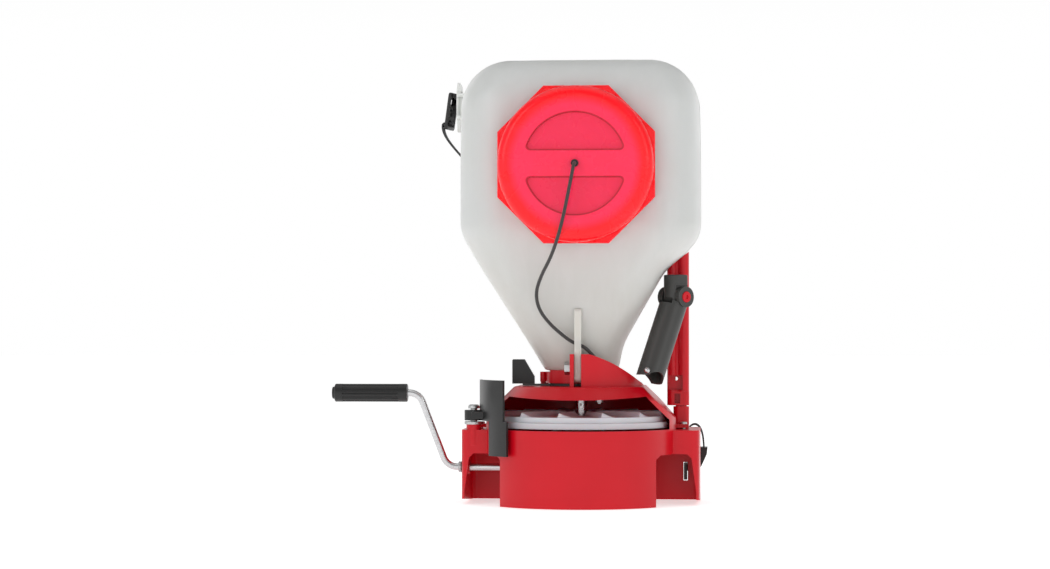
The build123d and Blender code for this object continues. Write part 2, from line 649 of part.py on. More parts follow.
def make_handle():
    """Short tubular handle: two cheeks on the pin above, a saddle-shaped end below."""
    tube = cylinder(HANDLE_R, -HANDLE_LEN, 0) - cylinder(HANDLE_R - 2.6, -HANDLE_LEN - 1, -16)
    tube -= box((-10.2, 10.2), (-20, 20), (-13, 1))
    cheeks = (rod_x(11.8, 10.2, 17.6) + rod_x(11.8, -17.6, -10.2)) - rod_x(11.8, -10.2, 10.2)
    trim = box((-20, 20), (-20, 20), (-13, 1)) - rod_x(11.8, -25, 25)
    tube = tube - (trim & box((-20, 20), (-20, 20), (-9, 1)))
    handle = tube + cheeks
    handle -= rod_x(14, -30, 30, 0, -HANDLE_LEN - 6)
    handle -= rod_x(3.0 + RUN, -30, 30)
    handle -= rod_x(6.6, 14.6, 30) + rod_x(6.6, -30, -14.6)
    handle -= Rot(0, 0, BUTTON_TURN) * rod_y(3.05, -30, 0, 0, -BUTTON_DOWN)
    return HANDLE_FRAME * handle


def make_handle_pin():
    return PIN_FRAME * rod_x(3.0, -16, 16)


def make_pin_caps():
    """Two round caps over the pin's ends, each with a dimple in its face."""
    cap = rod_x(6.2, 14.8, 18.6) - rod_x(3.05, 14, 16.05) - rod_x(2.4, 17.2, 20)
    return Compound(children=[PIN_FRAME * cap, PIN_FRAME * Rot(0, 0, 180) * cap])


def make_latch_bolt():
    """Small steel button near the handle's open end."""
    stem = rod_y(3.0, -HANDLE_R - 0.2, -HANDLE_R + 5, 0, -BUTTON_DOWN)
    ball = Pos(0, -HANDLE_R - 0.2, -BUTTON_DOWN) * Sphere(3.6)
    dome = ball & box((-9, 9), (-30, -HANDLE_R), (-BUTTON_DOWN - 9, -BUTTON_DOWN + 9))
    return HANDLE_FRAME * Rot(0, 0, BUTTON_TURN) * (stem + dome)


# ------------------------------------------------------------------ tether and strap

TETHER_ROUTE = [
    (0, -124.9, 384), (-0.4, -131, 383), (-2, -132, 374), (-6.5, -129.5, 352), (-11.5, -127.5, 328),
    (-18, -125, 303), (-27, -112, 280), (-39, -96, 260), (-46, -87, 241), (-43, -79.5, 222.5),
    (-32, -72, 207), (-18, -64.5, 194), (-6, -60.4, 185), (7, -59, 180.5), (15, -58.5, 172.5), (21, -56.8, 165.5),
]

STRAP_ROUTE = [
    (-158, STRAP_Y, 443.5), (-169.5, STRAP_Y, 447), (-170.8, STRAP_Y, 437), (-164, STRAP_Y, 423),
    (-140, STRAP_Y, 396), (-98, STRAP_Y, 346), (-54, STRAP_Y + 2, 287), (-12, STRAP_Y + 9, 226),
    (18, STRAP_Y + 18, 172), (26, STRAP_Y + 24, 118), (2, STRAP_Y + 26, 76), (-44, STRAP_Y + 26, 54),
    (-86, STRAP_Y + 25, 36), (-97, STRAP_Y + 24, 11), (-64, STRAP_Y + 24, 4.6), (-16, STRAP_Y + 25, 4.0),
    (36, STRAP_Y + 21, 4.6), (82, STRAP_Y + 10, 7), (106, STRAP_Y + 2, 34), (114, STRAP_Y - 1, 74),
    (128, STRAP_Y - 2, 91), (139, STRAP_Y - 2, 80), (139.5, STRAP_Y - 2, 61),
]


def corner_radii(points):
    """The largest arc at each corner: 0.45 of the shorter run over the tangent of half the turn."""
    radii = []
    for before, here, after in zip(points, points[1:], points[2:]):
        one = Vector(*here) - Vector(*before)
        two = Vector(*after) - Vector(*here)
        half_turn = radians(one.get_angle(two)) / 2
        radii.append(0.45 * min(one.length, two.length) / tan(half_turn))
    return radii


def cord_path(name, points):
    radii = corner_radii(points)
    print(name, "radii", [round(r, 1) for r in radii])
    path = FilletPolyline(*points, radius=radii)
    print(name, "length", round(path.length, 1))
    return path


def make_tether():
    path = cord_path("tether", TETHER_ROUTE)
    tube = sweep(Plane(path @ 0, z_dir=path % 0) * Circle(TETHER_D / 2), path=path)
    print("tether volume over section times length", round(tube.volume / (pi * TETHER_D**2 / 4 * path.length), 4))
    return tube


def make_strap():
    path = cord_path("strap", STRAP_ROUTE)
    start = Plane(path @ 0, x_dir=(0, 1, 0), z_dir=path % 0)
    band = sweep(start * Rectangle(STRAP_W, STRAP_T), path=path)
    print("strap volume over section times length", round(band.volume / (STRAP_W * STRAP_T * path.length), 4))
    return band


def make_tether_button():
    """Button the tether is tied to: its stem turns in the cap's centre hole."""
    stem = rod_y(2.5, CAP_FACE - 4.4, CAP_FACE + 10, 0, FILL_Z)
    head = rod_y(4.2, CAP_FACE - 4.4, CAP_FACE - 0.1, 0, FILL_Z)
    washer = rod_y(6.0, CAP_INSIDE + 0.1, CAP_INSIDE + 2.0, 0, FILL_Z)
    return stem + head + washer


def make_tether_knot():
    x, y, z = TETHER_ROUTE[-1]
    return Pos(x + 2.4, y + 0.6, z - 2.8) * (Sphere(4.6) & Box(20, 20, 8.4))


def make_strap_slider():
    """Plastic ladder buckle between the hopper's lug and the webbing."""
    frame = Pos(-160.5, STRAP_Y, 459) * Rot(0, 0, -10) * Rot(0, 8, 0)
    buckle = Box(4, 32, 44)
    buckle = fillet(buckle.edges().filter_by(Axis.X), 4)
    for z in (-14.5, -2, 11):
        buckle -= Pos(0, 0, z) * Box(8, 27.6, 6)
    tip_x = (LUG_X[1] + 0.6, LUG_X[1] + 3.2)
    hook = box((LUG_X[0] - 8, tip_x[1]), (STRAP_Y - 12, STRAP_Y + 12), (475.6, 479.6))
    hook = hook & (frame * box((0, 40), (-40, 40), (-60, 60)))
    tip = box(tip_x, (STRAP_Y - 12, STRAP_Y + 12), (470, 479.6))
    return frame * buckle + hook + tip


def make_strap_hook():
    """Plastic hook at the webbing's other end, through the slot in the base's rear wall."""
    y_low, y_high = STRAP_Y - 14, STRAP_Y + 10
    outline = [(134.5, 60.8), (144, 60.8), (143, 52), (136.5, 38), (127, 34), (126.5, 42), (131, 50)]
    hook = prism_y(outline, y_low, y_high)
    hook += box((116.5, 129), (y_low, y_low + 10), (33, 43))
    hook += box((116.5, 120.5), (POD_REAR - 6, y_low + 1), (33, 43))
    return hook + box((116.5, 120.5), (POD_REAR - 8, POD_REAR - 3.6), (23.5, 43))


# ------------------------------------------------------------------ write every node

def main():
    save("base_housing", make_base())
    save("top_housing", make_roof())
    save("hopper", make_hopper())
    save("hopper_collar", make_collar())
    save("outlet_seal", ring(NECK_R - 0.2, NECK_R - 3.5, 138.0, 139.4))
    save("cap", make_cap())
    gasket = rod_y(FILL_R + 1.6, CAP_INSIDE + 0.1, CAP_INSIDE + 2.1, 0, FILL_Z)
    save("cap_gasket", gasket - rod_y(FILL_R - 6, -130, -90, 0, FILL_Z))
    save("tether_button", make_tether_button())
    save("cap_tether", make_tether())
    save("tether_knot", make_tether_knot())
    save("fin_bolt", make_fin_bolt())
    save("fin_nut", make_fin_nut())
    save("housing_screws", screws_at(EAR_PLACES, RING_TOP + 4.05, 4.2, 2.6, 2.0, 18))
    feet = [(r * cos(radians(a)), r * sin(radians(a))) for a, r in COLLAR_FEET]
    save("collar_screws", screws_at(feet, 144.05, 3.2, 2.2, 1.5, 14))
    save("gear_case", make_case())
    save("gear_case_cover", make_case_cover())
    save("case_screws", screws_at(CASE_SCREWS, POD_TOP + 0.05, 3.6, 1.8, 1.5, 15))
    save("cover_screws", screws_at(CASE_SCREWS, COVER_SEAT - 0.05, 3.4, 1.8, 1.5, 13, flip=True))
    save("crank_bushes", make_crank_bushes())
    save("shaft_bush", make_shaft_bush())
    save("crank_rod", make_crank_rod())
    save("crown_wheel", make_crown())
    save("crown_pin", cylinder(1.5, CRANK_Z - 9.5, CRANK_Z + 9.5, -25, 0))
    save("crank_stop_ring", ring_x(6.2, ROD_R + 0.02, -POD_HALF_W - 5.2, -POD_HALF_W - 2.2))
    save("crank_grip", make_grip())
    grip_plug = rod_x(7.0, GRIP_LOW, GRIP_LOW + 2.95, 0, CRANK_Z + THROW)
    save("grip_end_plug", fillet(grip_plug.edges().sort_by(Axis.X)[0], 1.2))
    save("impeller_disc", make_impeller())
    save("impeller_shaft", make_shaft())
    save("pinion", make_pinion())
    save("pinion_pin", rod_x(1.25, -7.2, 7.2, 0, CRANK_Z + CROWN_R))
    save("impeller_pin", rod_x(1.25, -12.8, 12.8, 0, 96))
    save("shaft_coupling", ring(6.4, ROD_R + 0.02, PLATE_Z + 1.05, 128) - rod_y(1.55, -20, 20, 0, 113.5))
    save("coupling_pin", rod_y(1.5, -5.6, 5.6, 0, 113.5))
    save("agitator", make_agitator())
    save("gate_plate", make_gate_plate())
    save("gate_lever", make_gate_lever())
    save("lever_rivets", Compound(children=[cylinder(1.45, 135.4, 141.4, x, -12) for x in (-62, -57)]))
    save("gate_stop_screw", Pos(*GATE_STOP, ROOF_TOP + 0.05) * pan_screw(4.2, 2.4, 2.0, 19))
    stop_nut = hexagon(8, 117.6, 121.6, *GATE_STOP) + ring(8.6, 2.05, 121.6, ROOF_TOP - ROOF_WALL, *GATE_STOP)
    save("gate_stop_nut", stop_nut - cylinder(2.05, 110, 140, *GATE_STOP))
    save("baffle", make_baffle())
    save("baffle_bolt", make_baffle_bolt())
    save("baffle_washer", ring(10.9, 4.0, 91.05, 94.3, BAFFLE_X, BAFFLE_Y))
    nut = hexagon(10, 61.6, 66.6, BAFFLE_X, BAFFLE_Y) - cylinder(3.05, 50, 90, BAFFLE_X, BAFFLE_Y)
    save("baffle_nut", nut)
    save("upright_post", make_post())
    save("post_screw", Pos(114.2, POST_Y + 7.05, 99) * Rot(-90, 0, 0) * pan_screw(3.4, 2.0, 1.5, 11))
    bracket_screw = Rot(-90, 0, 0) * pan_screw(3.0, 1.8, 1.5, 22)
    save("bracket_screws", Compound(children=[
        Pos(110.0, POST_Y + 7.1, z) * bracket_screw for z in BRACKET_SCREWS]))
    save("handle_clevis", make_clevis())
    save("handle_pin", make_handle_pin())
    save("pin_caps", make_pin_caps())
    save("folding_handle", make_handle())
    save("handle_latch_button", make_latch_bolt())
    save("shoulder_strap", make_strap())
    save("strap_slider", make_strap_slider())
    save("strap_hook", make_strap_hook())
    print(len(written), "nodes")


main()
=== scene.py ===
import json
import math

import bmesh
import bpy
from mathutils import Matrix, Vector


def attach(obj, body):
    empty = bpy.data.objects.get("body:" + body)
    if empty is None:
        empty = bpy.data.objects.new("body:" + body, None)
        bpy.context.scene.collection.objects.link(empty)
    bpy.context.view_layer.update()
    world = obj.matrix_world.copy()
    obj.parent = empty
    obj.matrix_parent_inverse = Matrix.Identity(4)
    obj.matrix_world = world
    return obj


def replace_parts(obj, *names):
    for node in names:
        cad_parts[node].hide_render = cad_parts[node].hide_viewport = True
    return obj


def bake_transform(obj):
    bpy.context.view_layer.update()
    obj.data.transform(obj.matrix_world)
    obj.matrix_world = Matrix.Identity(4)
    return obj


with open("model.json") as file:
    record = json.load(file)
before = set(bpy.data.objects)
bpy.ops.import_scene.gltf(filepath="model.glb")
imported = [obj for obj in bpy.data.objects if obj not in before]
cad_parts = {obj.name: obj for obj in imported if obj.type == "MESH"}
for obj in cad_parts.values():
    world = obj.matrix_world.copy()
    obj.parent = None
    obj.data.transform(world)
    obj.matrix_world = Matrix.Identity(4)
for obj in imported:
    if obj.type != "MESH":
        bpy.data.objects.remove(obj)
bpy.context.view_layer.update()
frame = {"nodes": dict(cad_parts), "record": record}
nodes = frame["nodes"]

MM = 0.001
FILL_Z = 384.0
RECESS_R = 57.3
RECESS_GAP = 15.0
RECESS_CORNER = 6.0
RECESS_NARROWING = 0.942
RECESS_LOWERING = 0.931


# ------------------------------------------------------------------ camera, light and floor

AZIMUTH = math.radians(4.5)
CAMERA_DISTANCE = 3.105
CAMERA_HEIGHT = 0.208
CAMERA_SIDE = -0.0644
TARGET_HEIGHT = 0.2513
SENSOR_WIDTH = 36.0
FOCAL_LENGTH = 92.6


def make_camera():
    right = Vector((math.cos(AZIMUTH), math.sin(AZIMUTH), 0))
    back = Vector((math.sin(AZIMUTH), -math.cos(AZIMUTH), 0))
    target = CAMERA_SIDE * right + Vector((0, 0, TARGET_HEIGHT))
    data = bpy.data.cameras.new("view")
    data.sensor_width = SENSOR_WIDTH
    data.lens = FOCAL_LENGTH
    data.clip_start = 0.05
    data.clip_end = 60.0
    camera = bpy.data.objects.new("view", data)
    camera.location = CAMERA_SIDE * right + CAMERA_DISTANCE * back + Vector((0, 0, CAMERA_HEIGHT))
    camera.rotation_euler = (target - camera.location).to_track_quat("-Z", "Y").to_euler()
    bpy.context.scene.collection.objects.link(camera)
    bpy.context.scene.camera = camera


# Name, place, point aimed at, size and power of each soft light.
AREA_LIGHTS = [
    ("key_left", (-1.7, -1.9, 1.35), (0, 0, 0.22), (1.1, 1.5), 11.0),
    ("key_right", (1.9, -1.8, 1.15), (0, 0, 0.22), (1.1, 1.5), 7.5),
    ("top", (0.0, -0.2, 2.4), (0, 0, 0.2), (2.2, 2.0), 9.0),
    ("low_front", (0.0, -2.9, 0.5), (0, 0, 0.2), (2.4, 0.8), 1.6),
    ("back_left", (-1.6, 1.9, 1.5), (0, 0, 0.25), (1.2, 1.6), 6.0),
    ("back_right", (1.7, 1.8, 1.3), (0, 0, 0.25), (1.2, 1.6), 6.0),
]
# The world is full white up to the first height of its direction, and dims to the share past the second.
WORLD_BRIGHT_TO = 0.10
WORLD_DIM_FROM = 0.34
WORLD_DIM_SHARE = 0.42


def area_light(name, place, aim, size, power):
    data = bpy.data.lights.new(name, "AREA")
    data.shape = "RECTANGLE"
    data.size, data.size_y = size
    data.energy = power
    light = bpy.data.objects.new(name, data)
    light.location = place
    light.rotation_euler = (Vector(aim) - Vector(place)).to_track_quat("-Z", "Y").to_euler()
    bpy.context.scene.collection.objects.link(light)


def make_lights():
    for settings in AREA_LIGHTS:
        area_light(*settings)
    world = bpy.data.worlds.new("studio")
    world.use_nodes = True
    tree = world.node_tree
    background = tree.nodes["Background"]
    background.inputs["Color"].default_value = (1.0, 1.0, 1.0, 1)
    # White near the horizon and dimmer overhead and below, so that the area lights model the form.
    direction = tree.nodes.new("ShaderNodeTexCoord")
    split = tree.nodes.new("ShaderNodeSeparateXYZ")
    height = tree.nodes.new("ShaderNodeMath")
    height.operation = "ABSOLUTE"
    fade = tree.nodes.new("ShaderNodeMapRange")
    fade.interpolation_type = "SMOOTHSTEP"
    for key, value in (("From Min", WORLD_BRIGHT_TO), ("From Max", WORLD_DIM_FROM), ("To Min", 1.0),
                       ("To Max", WORLD_DIM_SHARE)):
        fade.inputs[key].default_value = value
    tree.links.new(direction.outputs["Generated"], split.inputs[0])
    tree.links.new(split.outputs["Z"], height.inputs[0])
    tree.links.new(height.outputs[0], fade.inputs["Value"])
    tree.links.new(fade.outputs["Result"], background.inputs["Strength"])
    bpy.context.scene.world = world


# ------------------------------------------------------------------ materials

class Look:
    """A Principled material with a few short ways to add procedural texture to it."""

    def __init__(self, name, **values):
        self.material = bpy.data.materials.new(name)
        self.material.use_nodes = True
        self.tree = self.material.node_tree
        self.shader = self.tree.nodes["Principled BSDF"]
        self.height = None
        for key, value in values.items():
            self.shader.inputs[key.replace("_", " ")].default_value = value
        coord = self.node("ShaderNodeTexCoord")
        self.place = coord.outputs["Object"]
        self.uv = coord.outputs["UV"]

    def node(self, kind, **settings):
        made = self.tree.nodes.new(kind)
        for key, value in settings.items():
            setattr(made, key, value)
        return made

    def link(self, source, target):
        self.tree.links.new(source, target)

    def scaled(self, scale, source=None):
        mapping = self.node("ShaderNodeMapping")
        mapping.inputs["Scale"].default_value = scale
        self.link(source or self.place, mapping.inputs["Vector"])
        return mapping.outputs["Vector"]

    def noise(self, scale, detail=3.0, roughness=0.5, place=None):
        made = self.node("ShaderNodeTexNoise")
        made.inputs["Scale"].default_value = scale
        made.inputs["Detail"].default_value = detail
        made.inputs["Roughness"].default_value = roughness
        self.link(place or self.place, made.inputs["Vector"])
        return made.outputs["Fac"]

    def wave(self, scale, direction, place):
        made = self.node("ShaderNodeTexWave", wave_type="BANDS", bands_direction=direction)
        made.inputs["Scale"].default_value = scale
        self.link(place, made.inputs["Vector"])
        return made.outputs["Fac"]

    def spread(self, source, low, high, new_low=0.0, new_high=1.0):
        made = self.node("ShaderNodeMapRange")
        for key, value in (("From Min", low), ("From Max", high), ("To Min", new_low), ("To Max", new_high)):
            made.inputs[key].default_value = value
        self.link(source, made.inputs["Value"])
        return made.outputs["Result"]

    def sum(self, operation, one, two):
        made = self.node("ShaderNodeMath", operation=operation)
        for socket, value in zip(made.inputs, (one, two)):
            if isinstance(value, (int, float)):
                socket.default_value = value
            else:
                self.link(value, socket)
        return made.outputs[0]

    def blend(self, factor, one, two):
        made = self.node("ShaderNodeMix", data_type="RGBA")
        if isinstance(factor, (int, float)):
            made.inputs["Factor"].default_value = factor
        else:
            self.link(factor, made.inputs["Factor"])
        for socket, value in ((made.inputs[6], one), (made.inputs[7], two)):
            if isinstance(value, tuple):
                socket.default_value = (*value, 1.0)
            else:
                self.link(value, socket)
        return made.outputs[2]

    def colour(self, source):
        self.link(source, self.shader.inputs["Base Color"])

    def rough(self, source):
        self.link(source, self.shader.inputs["Roughness"])

    def bump(self, source, strength, distance):
        made = self.node("ShaderNodeBump")
        made.inputs["Strength"].default_value = strength
        made.inputs["Distance"].default_value = distance
        self.link(source, made.inputs["Height"])
        if self.height is not None:
            self.link(self.height, made.inputs["Normal"])
        self.height = made.outputs["Normal"]
        self.link(self.height, self.shader.inputs["Normal"])

    def edges(self, radius=0.0012):
        """Mask that is 1 along outer edges, where slight wear and a painted highlight go, and 0 on flat faces."""
        bevel = self.node("ShaderNodeBevel", samples=4)
        bevel.inputs["Radius"].default_value = radius
        geometry = self.node("ShaderNodeNewGeometry")
        dot = self.node("ShaderNodeVectorMath", operation="DOT_PRODUCT")
        self.link(bevel.outputs["Normal"], dot.inputs[0])
        self.link(geometry.outputs["Normal"], dot.inputs[1])
        return self.spread(dot.outputs["Value"], 0.995, 0.86)


def moulded(name, light, dark, rough_low, rough_high, grain=0.10, edge=(1, 1, 1), wear_and_highlight_share=0.12, **values):
    """Injection-moulded plastic: slow colour drift, fine grain, light scuffs, and outer edges lightened partly for
    slight wear and partly as a painted highlight.
    """
    look = Look(name, **values)
    drift = look.spread(look.noise(16, 3), 0.0, 1.0)
    base = look.blend(drift, light, dark)
    specks = look.spread(look.noise(240, 5, 0.7), 0.62, 0.78, 0.0, 0.22)
    base = look.blend(specks, base, tuple(0.8 * c for c in dark))
    # Outer edges are lightened towards the edge colour: partly slight wear, partly a painted highlight.
    wear_and_highlight = look.sum("MULTIPLY", look.edges(), look.spread(look.noise(90, 3), 0.35, 0.75, 0.2, 1.0))
    look.colour(look.blend(look.sum("MULTIPLY", wear_and_highlight, wear_and_highlight_share), base, edge))
    smear = look.noise(1.0, 2, 0.5, look.scaled((26, 40, 12)))
    fine = look.noise(1.0, 2, 0.5, look.scaled((900, 120, 420)))
    look.rough(look.sum("ADD", look.spread(smear, 0.0, 1.0, rough_low, rough_high),
                        look.spread(fine, 0.66, 0.8, 0.0, 0.10)))
    look.bump(look.noise(1500, 2), grain, 0.00012)
    return look.material


def hopper_plastic():
    look = Look("hopper_plastic", Metallic=0.0, IOR=1.5)
    sep = look.node("ShaderNodeSeparateXYZ")
    look.link(look.place, sep.inputs[0])
    # The warm colour is painted shade: the shell turns darker and warmer towards the funnel at the bottom.
    cool, shaded_warm = (0.680, 0.700, 0.672), (0.600, 0.590, 0.520)
    low = look.spread(sep.outputs["Z"], 0.33, 0.15)
    cloud = look.spread(look.noise(7, 4, 0.55), 0.3, 0.7, -0.12, 0.12)
    base = look.blend(look.sum("ADD", low, cloud), cool, shaded_warm)
    streak = look.spread(look.noise(1.0, 5, 0.6, look.scaled((60, 60, 5))), 0.45, 0.75, 0.0, 0.22)
    base = look.blend(streak, base, (0.78, 0.785, 0.765))
    scuff = look.spread(look.noise(1.0, 6, 0.75, look.scaled((420, 420, 60))), 0.66, 0.78, 0.0, 0.35)
    look.colour(look.blend(scuff, base, (0.60, 0.60, 0.575)))
    look.rough(look.spread(look.noise(55, 4), 0.3, 0.7, 0.34, 0.50))
    look.bump(look.noise(1.0, 3, 0.5, look.scaled((26, 26, 11))), 0.22, 0.0028)
    look.bump(look.noise(420, 3), 0.10, 0.00025)
    look.shader.inputs["Subsurface Weight"].default_value = 0.55
    look.shader.inputs["Subsurface Radius"].default_value = (1.0, 0.98, 0.90)
    look.shader.inputs["Subsurface Scale"].default_value = 0.018
    look.shader.inputs["Coat Weight"].default_value = 0.12
    look.shader.inputs["Coat Roughness"].default_value = 0.28
    return look.material


def cap_plastic():
    """Translucent red: the thin face lets more light through than the thick rim."""
    look = Look("cap_plastic", IOR=1.49, Specular_IOR_Level=0.35)
    sep = look.node("ShaderNodeSeparateXYZ")
    look.link(look.place, sep.inputs[0])
    up = look.sum("SUBTRACT", sep.outputs["Z"], FILL_Z * MM)
    radius = look.sum("SQRT", look.sum("ADD", look.sum("MULTIPLY", sep.outputs["X"], sep.outputs["X"]),
                                       look.sum("MULTIPLY", up, up)), 0.0)
    face = look.spread(radius, 0.0755, 0.066)
    cloud = look.spread(look.noise(18, 3), 0.3, 0.7, -0.10, 0.10)
    base = look.blend(look.sum("ADD", face, cloud), (0.90, 0.0, 0.004), (0.86, 0.018, 0.080))
    mist = look.spread(look.noise(1.0, 3, 0.5, look.scaled((24, 24, 60))), 0.5, 0.8, 0.0, 0.10)
    base = look.blend(mist, base, (0.93, 0.06, 0.14))
    # Inside each D-shaped recess the wall is painted darker as shade, and its step is painted as a dark line of
    # shade.
    from_edge = look.sum("SUBTRACT", look.sum("ABSOLUTE", up, 0.0), (RECESS_GAP + RECESS_CORNER) * MM)
    from_arc = look.sum("SUBTRACT", (RECESS_R - RECESS_CORNER) * MM, radius)
    squares = [look.sum("POWER", look.sum("MINIMUM", d, 0.0), 2.0) for d in (from_edge, from_arc)]
    inside = look.sum("SUBTRACT", RECESS_CORNER * MM, look.sum("SQRT", look.sum("ADD", *squares), 0.0))
    base = look.blend(look.spread(inside, -0.0005, 0.0012, 0.0, 0.40), base, (0.66, 0.010, 0.060))
    line = look.spread(look.sum("ABSOLUTE", inside, 0.0), 0.0013, 0.0004, 0.0, 0.9)
    look.colour(look.blend(line, base, (0.36, 0.0, 0.010)))
    look.rough(look.spread(look.noise(40, 3), 0.3, 0.7, 0.24, 0.32))
    look.bump(look.noise(1300, 2), 0.03, 0.00006)
    look.shader.inputs["Subsurface Weight"].default_value = 0.25
    look.shader.inputs["Subsurface Radius"].default_value = (1.0, 0.12, 0.12)
    look.shader.inputs["Subsurface Scale"].default_value = 0.006
    # The emission is a painted glow, standing for light that passes through the red plastic.
    look.shader.inputs["Emission Color"].default_value = (1.0, 0.012, 0.045, 1)
    look.shader.inputs["Emission Strength"].default_value = 0.10
    look.shader.inputs["Coat Weight"].default_value = 0.08
    look.shader.inputs["Coat Roughness"].default_value = 0.12
    return look.material


def steel(name, tint, rough_low, rough_high, along=(60, 900, 900)):
    look = Look(name, Metallic=1.0)
    streak = look.noise(1.0, 4, 0.6, look.scaled(along))
    cloud = look.spread(look.noise(120, 4), 0.35, 0.7, 0.0, 0.35)
    base = look.blend(look.spread(streak, 0.3, 0.7), tint, tuple(0.80 * c for c in tint))
    look.colour(look.blend(cloud, base, tuple(0.66 * c for c in tint)))
    look.rough(look.spread(streak, 0.3, 0.7, rough_low, rough_high))
    look.bump(streak, 0.10, 0.00012)
    return look.material


def rubber():
    look = Look("rubber", Roughness=0.75)
    look.colour(look.blend(look.spread(look.noise(60, 4), 0.3, 0.7), (0.018, 0.018, 0.018), (0.04, 0.04, 0.04)))
    look.bump(look.noise(900, 3), 0.25, 0.0002)
    return look.material


def webbing():
    """Ribbed black webbing. U runs round its section and V along it, both in metres."""
    look = Look("webbing")
    across = look.wave(1.0, "X", look.scaled((330, 330, 330), look.uv))
    along = look.wave(1.0, "Y", look.scaled((240, 240, 240), look.uv))
    weave = look.sum("MULTIPLY", across, look.sum("ADD", look.sum("MULTIPLY", along, 0.6), 0.4))
    fuzz = look.noise(2600, 3)
    base = look.blend(look.spread(weave, 0.1, 0.9), (0.006, 0.006, 0.007), (0.030, 0.030, 0.033))
    look.colour(look.blend(look.spread(fuzz, 0.6, 0.8, 0.0, 0.4), base, (0.06, 0.06, 0.065)))
    look.rough(look.spread(fuzz, 0.3, 0.7, 0.62, 0.85))
    look.shader.inputs["Sheen Weight"].default_value = 0.25
    look.shader.inputs["Sheen Roughness"].default_value = 0.5
    look.bump(weave, 0.8, 0.0005)
    look.bump(fuzz, 0.2, 0.0001)
    return look.material


def braid():
    """Round braided cord. U runs round it and V along it, both in metres."""
    look = Look("braid")
    one = look.wave(1.0, "DIAGONAL", look.scaled((500, 300, 1), look.uv))
    two = look.wave(1.0, "DIAGONAL", look.scaled((-500, 300, 1), look.uv))
    weave = look.sum("MAXIMUM", one, two)
    look.colour(look.blend(look.spread(weave, 0.3, 1.0), (0.010, 0.010, 0.010), (0.050, 0.048, 0.046)))
    look.rough(look.spread(look.noise(1800, 3), 0.3, 0.7, 0.5, 0.75))
    look.shader.inputs["Sheen Weight"].default_value = 0.2
    look.bump(weave, 0.7, 0.0003)
    return look.material


def floor_look():
    look = Look("floor", Roughness=0.9)
    look.colour(look.blend(look.spread(look.noise(3, 4), 0.3, 0.7), (0.94, 0.94, 0.94), (0.92, 0.92, 0.92)))
    look.shader.inputs["Emission Color"].default_value = (1.0, 1.0, 1.0, 1)
    look.shader.inputs["Emission Strength"].default_value = 0.58
    look.bump(look.noise(60, 3), 0.05, 0.001)
    return look.material


MATERIALS = {
    "red_plastic": moulded("red_plastic", (0.62, 0.0016, 0.0120), (0.52, 0.0010, 0.0085), 0.24, 0.36,
                           edge=(0.85, 0.06, 0.10), wear_and_highlight_share=0.22, Specular_IOR_Level=0.30),
    "hopper_plastic": hopper_plastic(),
    "cap_red": cap_plastic(),
    "dark_plastic": moulded("dark_plastic", (0.044, 0.044, 0.041), (0.026, 0.026, 0.025), 0.34, 0.50, grain=0.22,
                            edge=(0.22, 0.22, 0.21), wear_and_highlight_share=0.35),
    "black_plastic": moulded("black_plastic", (0.013, 0.013, 0.013), (0.008, 0.008, 0.008), 0.26, 0.42, grain=0.16,
                             edge=(0.12, 0.12, 0.12), wear_and_highlight_share=0.35, Specular_IOR_Level=0.4),
    "grey_plastic": moulded("grey_plastic", (0.16, 0.16, 0.165), (0.12, 0.12, 0.125), 0.45, 0.6),
    "bearing_plastic": moulded("bearing_plastic", (0.66, 0.65, 0.60), (0.58, 0.57, 0.52), 0.3, 0.42),
    "impeller_plastic": moulded("impeller_plastic", (0.66, 0.665, 0.70), (0.58, 0.585, 0.62), 0.30, 0.45,
                                edge=(0.85, 0.85, 0.88), Subsurface_Weight=0.15, Subsurface_Scale=0.004),
    "rubber": rubber(),
    "rod_steel": steel("rod_steel", (0.66, 0.66, 0.67), 0.20, 0.34),
    "zinc_steel": steel("zinc_steel", (0.55, 0.56, 0.56), 0.30, 0.46, (240, 240, 240)),
    "tether_cord": braid(),
    "webbing": webbing(),
}
SLOT_OF = {row["node"]: row["material_slot"] for row in frame["record"]["subparts"]}
BODY_OF = {node: body for body, members in frame["record"]["behaviour"]["bodies"].items() for node in members}


# ------------------------------------------------------------------ making pieces

def add_piece(name, mesh, slot, body, sharp=38.0):
    mesh.polygons.foreach_set("use_smooth", [True] * len(mesh.polygons))
    mesh.set_sharp_from_angle(angle=math.radians(sharp))
    mesh.materials.clear()
    mesh.materials.append(MATERIALS[slot])
    piece = bpy.data.objects.new(name, mesh)
    bpy.context.scene.collection.objects.link(piece)
    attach(piece, body)
    return piece


def baked(piece):
    """The piece's mesh with its modifiers applied."""
    graph = bpy.context.evaluated_depsgraph_get()
    return bpy.data.meshes.new_from_object(piece.evaluated_get(graph), depsgraph=graph)


def with_modifiers(mesh, *settings):
    """The mesh after some modifiers, each given as (kind, {values})."""
    holder = bpy.data.objects.new("holder", mesh)
    bpy.context.scene.collection.objects.link(holder)
    for kind, values in settings:
        modifier = holder.modifiers.new(kind, kind)
        for key, value in values.items():
            setattr(modifier, key, value)
    made = baked(holder)
    bpy.data.objects.remove(holder)
    return made


BEVEL_ANGLE = math.radians(34.0)


def bevelled(mesh, width, segments=2):
    return with_modifiers(mesh, ("BEVEL", {
        "width": width * MM, "segments": segments, "limit_method": "ANGLE", "angle_limit": BEVEL_ANGLE,
        "use_clamp_overlap": True, "miter_outer": "MITER_ARC"}))


def welded(mesh):
    """A copy of a CAD mesh with its split edges joined and its flat faces made whole."""
    work = bmesh.new()
    work.from_mesh(mesh)
    bmesh.ops.remove_doubles(work, verts=work.verts, dist=0.000004)
    bmesh.ops.dissolve_limit(work, angle_limit=math.radians(0.6), verts=work.verts, edges=work.edges)
    made = bpy.data.meshes.new(mesh.name + "_whole")
    work.to_mesh(made)
    work.free()
    if "custom_normal" in made.attributes:
        made.attributes.remove(made.attributes["custom_normal"])
    return made


